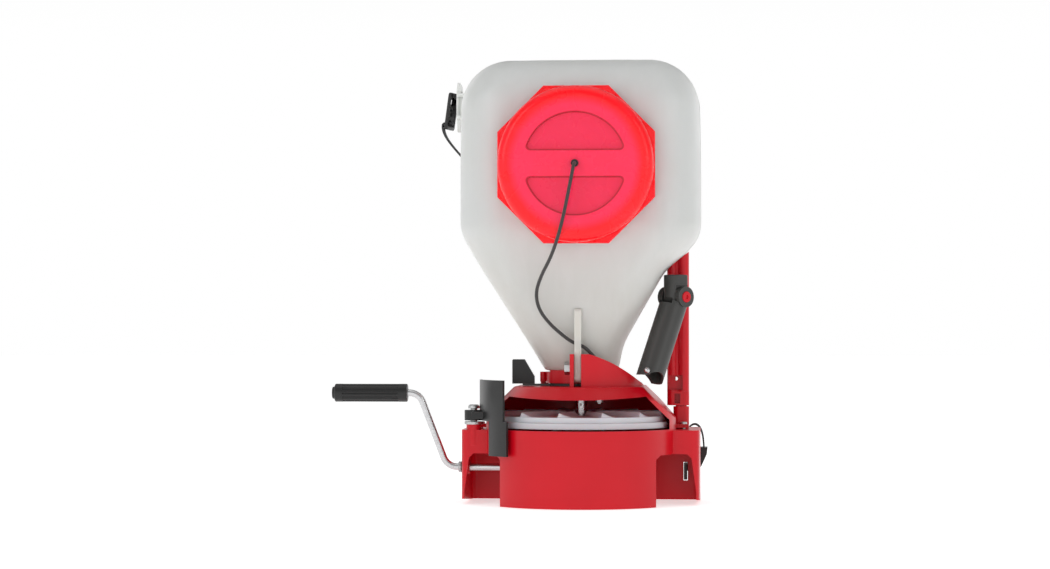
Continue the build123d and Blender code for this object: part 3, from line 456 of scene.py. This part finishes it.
def refine(node, width, segments=2):
    """Stands for a CAD node with the same shape and rounded edges."""
    mesh = bevelled(welded(nodes[node].data), width, segments) if width else welded(nodes[node].data)
    piece = add_piece(node + "_finish", mesh, SLOT_OF[node], BODY_OF[node])
    normals = piece.modifiers.new("normals", "WEIGHTED_NORMAL")
    normals.keep_sharp = True
    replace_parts(piece, node)
    return piece


def ring_faces(levels, count):
    """Quads between equal rings, ring by ring."""
    faces = []
    for level in range(levels - 1):
        for index in range(count):
            following = (index + 1) % count
            low, high = level * count, (level + 1) * count
            faces.append((low + index, low + following, high + following, high + index))
    return faces


def from_rings(rings, close_first=False, close_last=False, name="rings"):
    """A mesh through equal rings of points."""
    count = len(rings[0])
    points = [point for ring in rings for point in ring]
    faces = ring_faces(len(rings), count)
    if close_first:
        faces.append(tuple(reversed(range(count))))
    if close_last:
        faces.append(tuple(range((len(rings) - 1) * count, len(rings) * count)))
    mesh = bpy.data.meshes.new(name)
    mesh.from_pydata([tuple(c * MM for c in point) for point in points], [], faces)
    mesh.update()
    return mesh


def plate_from(points, low, high, axis, name="plate"):
    """A flat outline of (a, b) points in mm, pushed along X or Y between two values in mm."""
    def place(a, b, depth):
        return (depth, a, b) if axis == "X" else (a, depth, b)
    rings = [[place(a, b, low) for a, b in points], [place(a, b, high) for a, b in points]]
    mesh = from_rings(rings, True, True, name)
    return outward(mesh)


def outward(mesh):
    work = bmesh.new()
    work.from_mesh(mesh)
    bmesh.ops.recalc_face_normals(work, faces=work.faces)
    work.to_mesh(mesh)
    work.free()
    return mesh


def tube_mesh(radius, low, high, x, y, z, axis, sides=48, name="cutter"):
    work = bmesh.new()
    turn = {"X": Matrix.Rotation(math.pi / 2, 4, "Y"), "Y": Matrix.Rotation(math.pi / 2, 4, "X"),
            "Z": Matrix.Identity(4)}[axis]
    middle = Vector((x, y, z))
    middle["XYZ".index(axis)] = (low + high) / 2
    bmesh.ops.create_cone(work, cap_ends=True, segments=sides, radius1=radius * MM, radius2=radius * MM,
                          depth=(high - low) * MM, matrix=Matrix.Translation(middle * MM) @ turn)
    mesh = bpy.data.meshes.new(name)
    work.to_mesh(mesh)
    work.free()
    return mesh


def cut(mesh, *cutters):
    """The mesh with each cutter mesh taken away from it."""
    settings, holders = [], []
    for cutter in cutters:
        holder = bpy.data.objects.new("cutter", cutter)
        bpy.context.scene.collection.objects.link(holder)
        holders.append(holder)
        settings.append(("BOOLEAN", {"operation": "DIFFERENCE", "solver": "EXACT", "object": holder}))
    made = with_modifiers(mesh, *settings)
    for holder in holders:
        bpy.data.objects.remove(holder)
    return made


# ------------------------------------------------------------------ hopper

HOPPER_LEVELS = [(154.0, -41.4, 43.0, 42.2, 40.0), (183.0, -58.0, 48.3, 50.5, 38.0),
                 (270.0, -112.4, 97.5, 74.5, 43.0), (291.0, -124.5, 125.0, 79.5, 46.0),
                 (310.0, -135.3, 137.5, 86.0, 50.0), (390.0, -135.3, 137.5, 86.0, 50.0),
                 (520.0, -133.6, 135.2, 85.0, 50.0)]
NECK_BORE_R = 69.5
FOLD_REACH = 11.0
FIN_HALF = 4.0
LUG_X = (-151.5, -148.0)
TOP_FILLET = 57.0
TOP_Z = 506.5
SEAM_SUNK = 0.15
CROWN = 2.5
RING_POINTS = 144


def level_at(z):
    for low, high in zip(HOPPER_LEVELS, HOPPER_LEVELS[1:]):
        if z <= high[0]:
            share = (z - low[0]) / (high[0] - low[0])
            return [one + (two - one) * share for one, two in zip(low[1:], high[1:])]
    return list(HOPPER_LEVELS[-1][1:])


def soft_level(z):
    """The level's sizes, averaged over a short height so that the folds of the form are soft."""
    reach = min(FOLD_REACH, z - HOPPER_LEVELS[0][0])
    samples = [level_at(z + reach * (step / 6 - 1)) for step in range(13)]
    return [sum(column) / len(samples) for column in zip(*samples)]


def rounded_ring(left, right, half_d, corner, z):
    """Points round a rounded rectangle, at equal angles about its middle."""
    middle, half_w = (left + right) / 2, (right - left) / 2
    corner = min(corner, half_w - 0.01, half_d - 0.01)
    flat_x, flat_y = half_w - corner, half_d - corner
    ring = []
    for index in range(RING_POINTS):
        angle = 2 * math.pi * index / RING_POINTS
        cx, cy = abs(math.cos(angle)), abs(math.sin(angle))
        reach = min(half_w / max(cx, 1e-9), half_d / max(cy, 1e-9))
        if reach * cx > flat_x and reach * cy > flat_y:
            along = flat_x * cx + flat_y * cy
            reach = along + math.sqrt(max(0.0, along**2 - flat_x**2 - flat_y**2 + corner**2))
        ring.append((middle + reach * math.cos(angle), reach * math.sin(angle), z))
    return ring


def make_hopper():
    rings = [rounded_ring(-36, 36, 36, 36, z) for z in (139.6, 150.5, 152.5)]
    rings.append(rounded_ring(-40.2, 41.6, 41.0, 40, 153.4))
    heights = [154 + 3.0 * step for step in range(62)] + [345, 375, 405, 435, TOP_Z - TOP_FILLET]
    rings += [rounded_ring(*soft_level(z), z) for z in heights if z <= TOP_Z - TOP_FILLET]
    left, right, half_d, corner = soft_level(TOP_Z - TOP_FILLET)
    for step in range(1, 13):
        turn = math.radians(90 * step / 12)
        inset = TOP_FILLET * (1 - math.cos(turn))
        rings.append(rounded_ring(left + inset, right - inset, half_d - inset, max(corner - 0.86 * inset, 3),
                                  TOP_Z - TOP_FILLET * (1 - math.sin(turn))))
    flat_w, flat_d = (right - left) / 2 - TOP_FILLET, half_d - TOP_FILLET
    centre = (left + right) / 2
    for step in range(1, 7):
        share = 1 - step / 6.4
        rings.append(rounded_ring(centre - flat_w * share, centre + flat_w * share, flat_d * share, 3 * share,
                                  TOP_Z + CROWN * (1 - share**2)))
    mesh = from_rings(rings, close_last=True, name="hopper_shell")
    mesh = with_modifiers(outward(mesh), ("SOLIDIFY", {"thickness": 2.6 * MM, "offset": -1}))
    mesh = cut(mesh, tube_mesh(NECK_BORE_R, -110, -70, 0, 0, FILL_Z, "Y", 96))
    shell = add_piece("hopper_shell", mesh, "hopper_plastic", "frame", 50)
    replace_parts(shell, "hopper")

    neck = [(69.6, -80), (69.6, -101.6), (70.2, -102), (73.2, -102), (74, -101.2), (74, -98.4), (75.2, -97.6),
            (75.2, -96.6), (74, -95.8), (74, -93), (75.2, -92), (75.2, -91), (74, -90.2), (74, -86.6), (76.5, -84.5)]
    rings = []
    for radius, y in neck:
        rings.append([(radius * math.cos(a * math.pi / 60), y, FILL_Z + radius * math.sin(a * math.pi / 60))
                      for a in range(120)])
    add_piece("hopper_neck", outward(from_rings(rings, name="hopper_neck")), "hopper_plastic", "frame", 50)

    # A fin in front ties the hopper to the roof's lugs; the tether passes through its hole.
    fin = [(-66, 143), (-66, 219), (-63.5, 223), (-52, 223), (-40, 200), (-38, 160), (-40, 148), (-47, 139.8),
           (-62.5, 139.8)]
    mesh = plate_from(fin, -FIN_HALF, FIN_HALF, "X", "hopper_fin")
    mesh = cut(mesh, tube_mesh(4.15, -12, 12, 0, -58, 156, "X", 32),
               tube_mesh(5.2, -12, 12, 0, -59.6, 182.7, "X", 32))
    add_piece("hopper_fin", bevelled(mesh, 0.9, 3), "hopper_plastic", "frame")

    # Strap lug on the rear left corner.
    plate = [(84, 434), (88, 433), (112, 436.5), (117, 440), (117, 485), (112, 489), (84, 492), (72, 480), (72, 446)]
    mesh = cut(plate_from(plate, *LUG_X, "X", "hopper_lug"),
               plate_from([(87.5, 474), (116.5, 474), (116.5, 482), (87.5, 482)], -160, -145, "X", "slot"))
    add_piece("hopper_lug", bevelled(mesh, 0.7, 3), "hopper_plastic", "frame")
    for name, low, high in (("upper", 474, 478), ("lower", 448, 452)):
        corners = [(-150.8, low), (-118, low), (-118, high), (-150.8, high)]
        rib = plate_from(corners, 66, 78, "Y", "hopper_rib_" + name)
        add_piece("hopper_rib_" + name, bevelled(rib, 0.8, 2), "hopper_plastic", "frame")
    rib = plate_from([(-150.8, 450), (-116, 450), (-116, 476), (-150.8, 476)], 72.5, 76, "Y", "hopper_rib_web")
    add_piece("hopper_rib_web", rib, "hopper_plastic", "frame")

    # Parting line of the blow moulding, over the shell's middle.
    line, far = [], []
    for points, side, edge, sign in ((line, 0, left, 1), (far, 1, right, -1)):
        points += [(soft_level(z)[side] + sign * SEAM_SUNK, z) for z in range(160, 459, 6)]
        for step in range(1, 10):
            turn = math.radians(90 * step / 9)
            points.append((edge + sign * SEAM_SUNK + sign * TOP_FILLET * (1 - math.cos(turn)),
                           TOP_Z - TOP_FILLET * (1 - math.sin(turn)) - 0.1))
    middle = [(centre + x, TOP_Z + CROWN * (1 - (x / flat_w) ** 2) - 0.1) for x in (-70, -45, -20, 0, 20, 45, 70)]
    outline = line + middle + list(reversed(far))
    rings = []
    for index, (x, z) in enumerate(outline):
        before, after = outline[max(0, index - 1)], outline[min(len(outline) - 1, index + 1)]
        run = Vector((after[0] - before[0], 0, after[1] - before[1])).normalized()
        out = Vector((-run.z, 0, run.x))
        rings.append([tuple(Vector((x, 0, z)) + out * 0.55 * math.cos(t) + Vector((0, 1, 0)) * 1.1 * math.sin(t))
                      for t in (math.radians(45 * step) for step in range(8))])
    add_piece("hopper_parting_line", outward(from_rings(rings, True, True, "hopper_parting_line")),
              "hopper_plastic", "frame", 60)


# ------------------------------------------------------------------ cap

def make_cap():
    cap = refine("cap", 0.9, 3)
    # The recesses' outlines are drawn in a little, so that their walls sit on the painted shade lines.
    for vertex in cap.data.vertices:
        x, y, up = vertex.co.x, vertex.co.y, vertex.co.z - FILL_Z * MM
        if y < -0.114 and abs(up) > 0.0135 and math.hypot(x, up) < 0.0625:
            vertex.co.x = x * RECESS_NARROWING
            vertex.co.z = FILL_Z * MM + math.copysign(
                RECESS_GAP * MM + (abs(up) - RECESS_GAP * MM) * RECESS_LOWERING, up)
    # Ribs on the flange's corners, between the round rim and the octagon's edge.
    for corner in range(8):
        turn = math.radians(22.5 + 45 * corner)
        tip = Vector((math.cos(turn), math.sin(turn))) * 93.6
        for side in (-1, 1):
            edge = Vector((math.cos(turn + side * math.radians(112.5)), math.sin(turn + side * math.radians(112.5))))
            end = tip + edge * 16
            across = Vector((-edge.y, edge.x)) * 0.55
            points = [tip - across, end - across, end + across, tip + across]
            rib = plate_from([(p.x, FILL_Z + p.y) for p in points], -99.6, -97.0, "Y", f"cap_rib_{corner}_{side + 1}")
            add_piece(f"cap_rib_{corner}_{side + 1}", bevelled(rib, 0.35, 2), "cap_red", "cap")
    return cap


# ------------------------------------------------------------------ impeller

VANES = 12
PHASE = 18.0
PLATE_Z = 101.2
VANE_H = 5.4


def vane_height(radius, angle):
    """Height over the plate: each vane has a steep face and a long hollow back."""
    step = 360 / VANES
    share = ((math.degrees(angle) - PHASE) % step) / step
    back = max(0.0, 1 - share / 0.42) ** 1.7
    front = max(0.0, 1 - (1 - share) / 0.035)
    fade = min(1.0, max(0.0, (radius - 14) / 14)) * min(1.0, max(0.0, (95.8 - radius) / 1.6))
    return VANE_H * max(back, front) * fade


def make_impeller():
    radii = [6.6, 10, 14, 18, 22, 26, 30, 38, 46, 54, 62, 70, 78, 84, 88, 91, 93.5, 94.6, 95.6, 96.5]
    count = 480
    rings = []
    turns = [2 * math.pi * index / count for index in range(count)]
    for radius in radii:
        rings.append([(radius * math.cos(turn), radius * math.sin(turn), PLATE_Z + vane_height(radius, turn))
                      for turn in turns])
    rim = [(96.6, 100.6), (96.6, 95.6), (97.2, 95.0), (100.4, 95.0), (101, 94.4), (101, 88.4), (100.4, 88), (98, 88),
           (98, 92.4), (94, 92.4), (94, 98.6), (13, 98.6), (13, 88.3), (6.6, 88.3)]
    for radius, z in rim:
        rings.append([(radius * math.cos(turn), radius * math.sin(turn), z) for turn in turns])
    mesh = outward(from_rings(rings, name="impeller"))
    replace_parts(add_piece("impeller", mesh, "impeller_plastic", "impeller", 30), "impeller_disc")


# ------------------------------------------------------------------ cord and strap

TETHER_ROUTE = [
    (0, -124.9, 384), (-0.4, -131, 383), (-2, -132, 374), (-6.5, -129.5, 352), (-11.5, -127.5, 328),
    (-18, -125, 303), (-27, -112, 280), (-39, -96, 260), (-46, -87, 241), (-43, -79.5, 222.5),
    (-32, -72, 207), (-18, -64.5, 194), (-6, -60.4, 185), (7, -59, 180.5), (15, -58.5, 172.5), (21, -56.8, 165.5),
]
TETHER_R = 0.002
STRAP_Y = 102
STRAP_HALF_W = 0.0125
STRAP_HALF_T = 0.0009
STRAP_ROUTE = [
    (-158, STRAP_Y, 443.5), (-169.5, STRAP_Y, 447), (-170.8, STRAP_Y, 437), (-164, STRAP_Y, 423),
    (-140, STRAP_Y, 396), (-98, STRAP_Y, 346), (-54, STRAP_Y + 2, 287), (-12, STRAP_Y + 9, 226),
    (18, STRAP_Y + 18, 172), (26, STRAP_Y + 24, 118), (2, STRAP_Y + 26, 76), (-44, STRAP_Y + 26, 54),
    (-86, STRAP_Y + 25, 36), (-97, STRAP_Y + 24, 11), (-64, STRAP_Y + 24, 4.6), (-16, STRAP_Y + 25, 4.0),
    (36, STRAP_Y + 21, 4.6), (82, STRAP_Y + 10, 7), (106, STRAP_Y + 2, 34), (114, STRAP_Y - 1, 74),
    (128, STRAP_Y - 2, 91), (139, STRAP_Y - 2, 80), (139.5, STRAP_Y - 2, 61),
]


def spline_points(name, route, resolution):
    """Points along a NURBS spline whose control points are the route's."""
    data = bpy.data.curves.new(name, "CURVE")
    data.dimensions = "3D"
    spline = data.splines.new("NURBS")
    spline.points.add(len(route) - 1)
    for point, place in zip(spline.points, route):
        point.co = (*(c * MM for c in place), 1)
    spline.order_u = 3
    spline.use_endpoint_u = True
    spline.resolution_u = resolution
    holder = bpy.data.objects.new(name, data)
    bpy.context.scene.collection.objects.link(holder)
    graph = bpy.context.evaluated_depsgraph_get()
    line = bpy.data.meshes.new_from_object(holder.evaluated_get(graph), depsgraph=graph)
    points = [vertex.co.copy() for vertex in line.vertices]
    bpy.data.objects.remove(holder)
    kept = points[:1]
    for point in points[1:]:
        if (point - kept[-1]).length > 0.0002:
            kept.append(point)
    return kept


def swept(name, points, section, first_side, steady=False):
    """A section of (across, out) offsets in metres carried along points, with UVs in metres.

    The section's across direction is carried along without twist, or held as near to first_side as the run allows.
    """
    side = Vector(first_side)
    rings, places, travelled = [], [], 0.0
    for index, point in enumerate(points):
        before, after = points[max(0, index - 1)], points[min(len(points) - 1, index + 1)]
        run = (after - before).normalized()
        if steady:
            side = Vector(first_side)
        side = (side - run * side.dot(run)).normalized()
        out = run.cross(side)
        if index:
            travelled += (point - points[index - 1]).length
        rings.append([point + side * a + out * b for a, b in section])
        places.append(travelled)
    count = len(section)
    mesh = bpy.data.meshes.new(name)
    faces = ring_faces(len(rings), count)
    faces.append(tuple(reversed(range(count))))
    faces.append(tuple(range((len(rings) - 1) * count, len(rings) * count)))
    mesh.from_pydata([tuple(p) for ring in rings for p in ring], [], faces)
    round_it = [0.0]
    for index in range(count):
        one, two = Vector(section[index]), Vector(section[(index + 1) % count])
        round_it.append(round_it[-1] + (two - one).length)
    uv = mesh.uv_layers.new(name="UVMap")
    for polygon in mesh.polygons[:len(faces) - 2]:
        level, index = divmod(polygon.index, count)
        corners = ((round_it[index], places[level]), (round_it[index + 1], places[level]),
                   (round_it[index + 1], places[level + 1]), (round_it[index], places[level + 1]))
        for loop, corner in zip(polygon.loop_indices, corners):
            uv.data[loop].uv = corner
    mesh.update()
    return outward(mesh)


def make_tether():
    points = spline_points("tether_line", TETHER_ROUTE, 12)
    section = [(TETHER_R * math.cos(t), TETHER_R * math.sin(t)) for t in (math.radians(30 * s) for s in range(12))]
    mesh = swept("tether", points, section, (1, 0, 0))
    piece = bpy.data.objects.new("tether", mesh)
    bpy.context.scene.collection.objects.link(piece)
    mesh.polygons.foreach_set("use_smooth", [True] * len(mesh.polygons))
    mesh.materials.append(MATERIALS["tether_cord"])
    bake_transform(piece)
    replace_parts(piece, "cap_tether")


def make_strap():
    points = spline_points("strap_line", STRAP_ROUTE, 10)
    half, thick, round_r = STRAP_HALF_W, STRAP_HALF_T, 0.0006
    section = [(-half + round_r, -thick), (-half / 2, -thick), (0, -thick), (half / 2, -thick),
               (half - round_r, -thick), (half, 0), (half - round_r, thick), (half / 2, thick), (0, thick),
               (-half / 2, thick), (-half + round_r, thick), (-half, 0)]
    mesh = swept("shoulder_webbing", points, section, (0, 1, 0), steady=True)
    piece = add_piece("shoulder_webbing", mesh, "webbing", "frame", 50)
    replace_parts(piece, "shoulder_strap")


# ------------------------------------------------------------------ everything else keeps its CAD shape

BEVELS = {
    "base_housing": 1.0, "top_housing": 0.9, "hopper_collar": 0.7, "baffle": 0.8, "baffle_bolt": 0.3,
    "baffle_washer": 0.4, "baffle_nut": 0.4, "upright_post": 0.7, "handle_clevis": 0.8, "folding_handle": 0.6,
    "pin_caps": 0.5, "handle_latch_button": 0.0, "handle_pin": 0.3, "gate_lever": 0.8, "gate_plate": 0.4,
    "crank_grip": 0.3, "grip_end_plug": 0.0, "crank_rod": 0.0, "crank_stop_ring": 0.3, "crank_bushes": 0.4,
    "fin_bolt": 0.4, "fin_nut": 0.4, "shaft_coupling": 0.5, "coupling_pin": 0.2, "agitator": 0.0,
    "gate_stop_nut": 0.4, "gate_stop_screw": 0.2, "housing_screws": 0.2, "collar_screws": 0.2, "case_screws": 0.2,
    "cover_screws": 0.2, "post_screw": 0.2, "bracket_screws": 0.2, "gear_case": 0.8, "gear_case_cover": 0.7,
    "strap_slider": 0.6, "strap_hook": 0.8, "tether_button": 0.4, "tether_knot": 0.0, "cap_gasket": 0.0,
    "outlet_seal": 0.0, "shaft_bush": 0.3, "crown_wheel": 0.25, "pinion": 0.25, "crown_pin": 0.2, "pinion_pin": 0.2,
    "impeller_pin": 0.2, "impeller_shaft": 0.3, "lever_rivets": 0.2,
}


def make_floor():
    work = bmesh.new()
    bmesh.ops.create_grid(work, x_segments=4, y_segments=4, size=14)
    mesh = bpy.data.meshes.new("floor")
    work.to_mesh(mesh)
    work.free()
    mesh.materials.append(floor_look())
    floor = bpy.data.objects.new("floor", mesh)
    floor.location.z = -0.0005
    bpy.context.scene.collection.objects.link(floor)


make_camera()
make_lights()
make_floor()
for node, width in BEVELS.items():
    refine(node, width)
make_tether()
make_strap()
make_hopper()
make_cap()
make_impeller()
bpy.context.scene.view_settings.view_transform = "Standard"
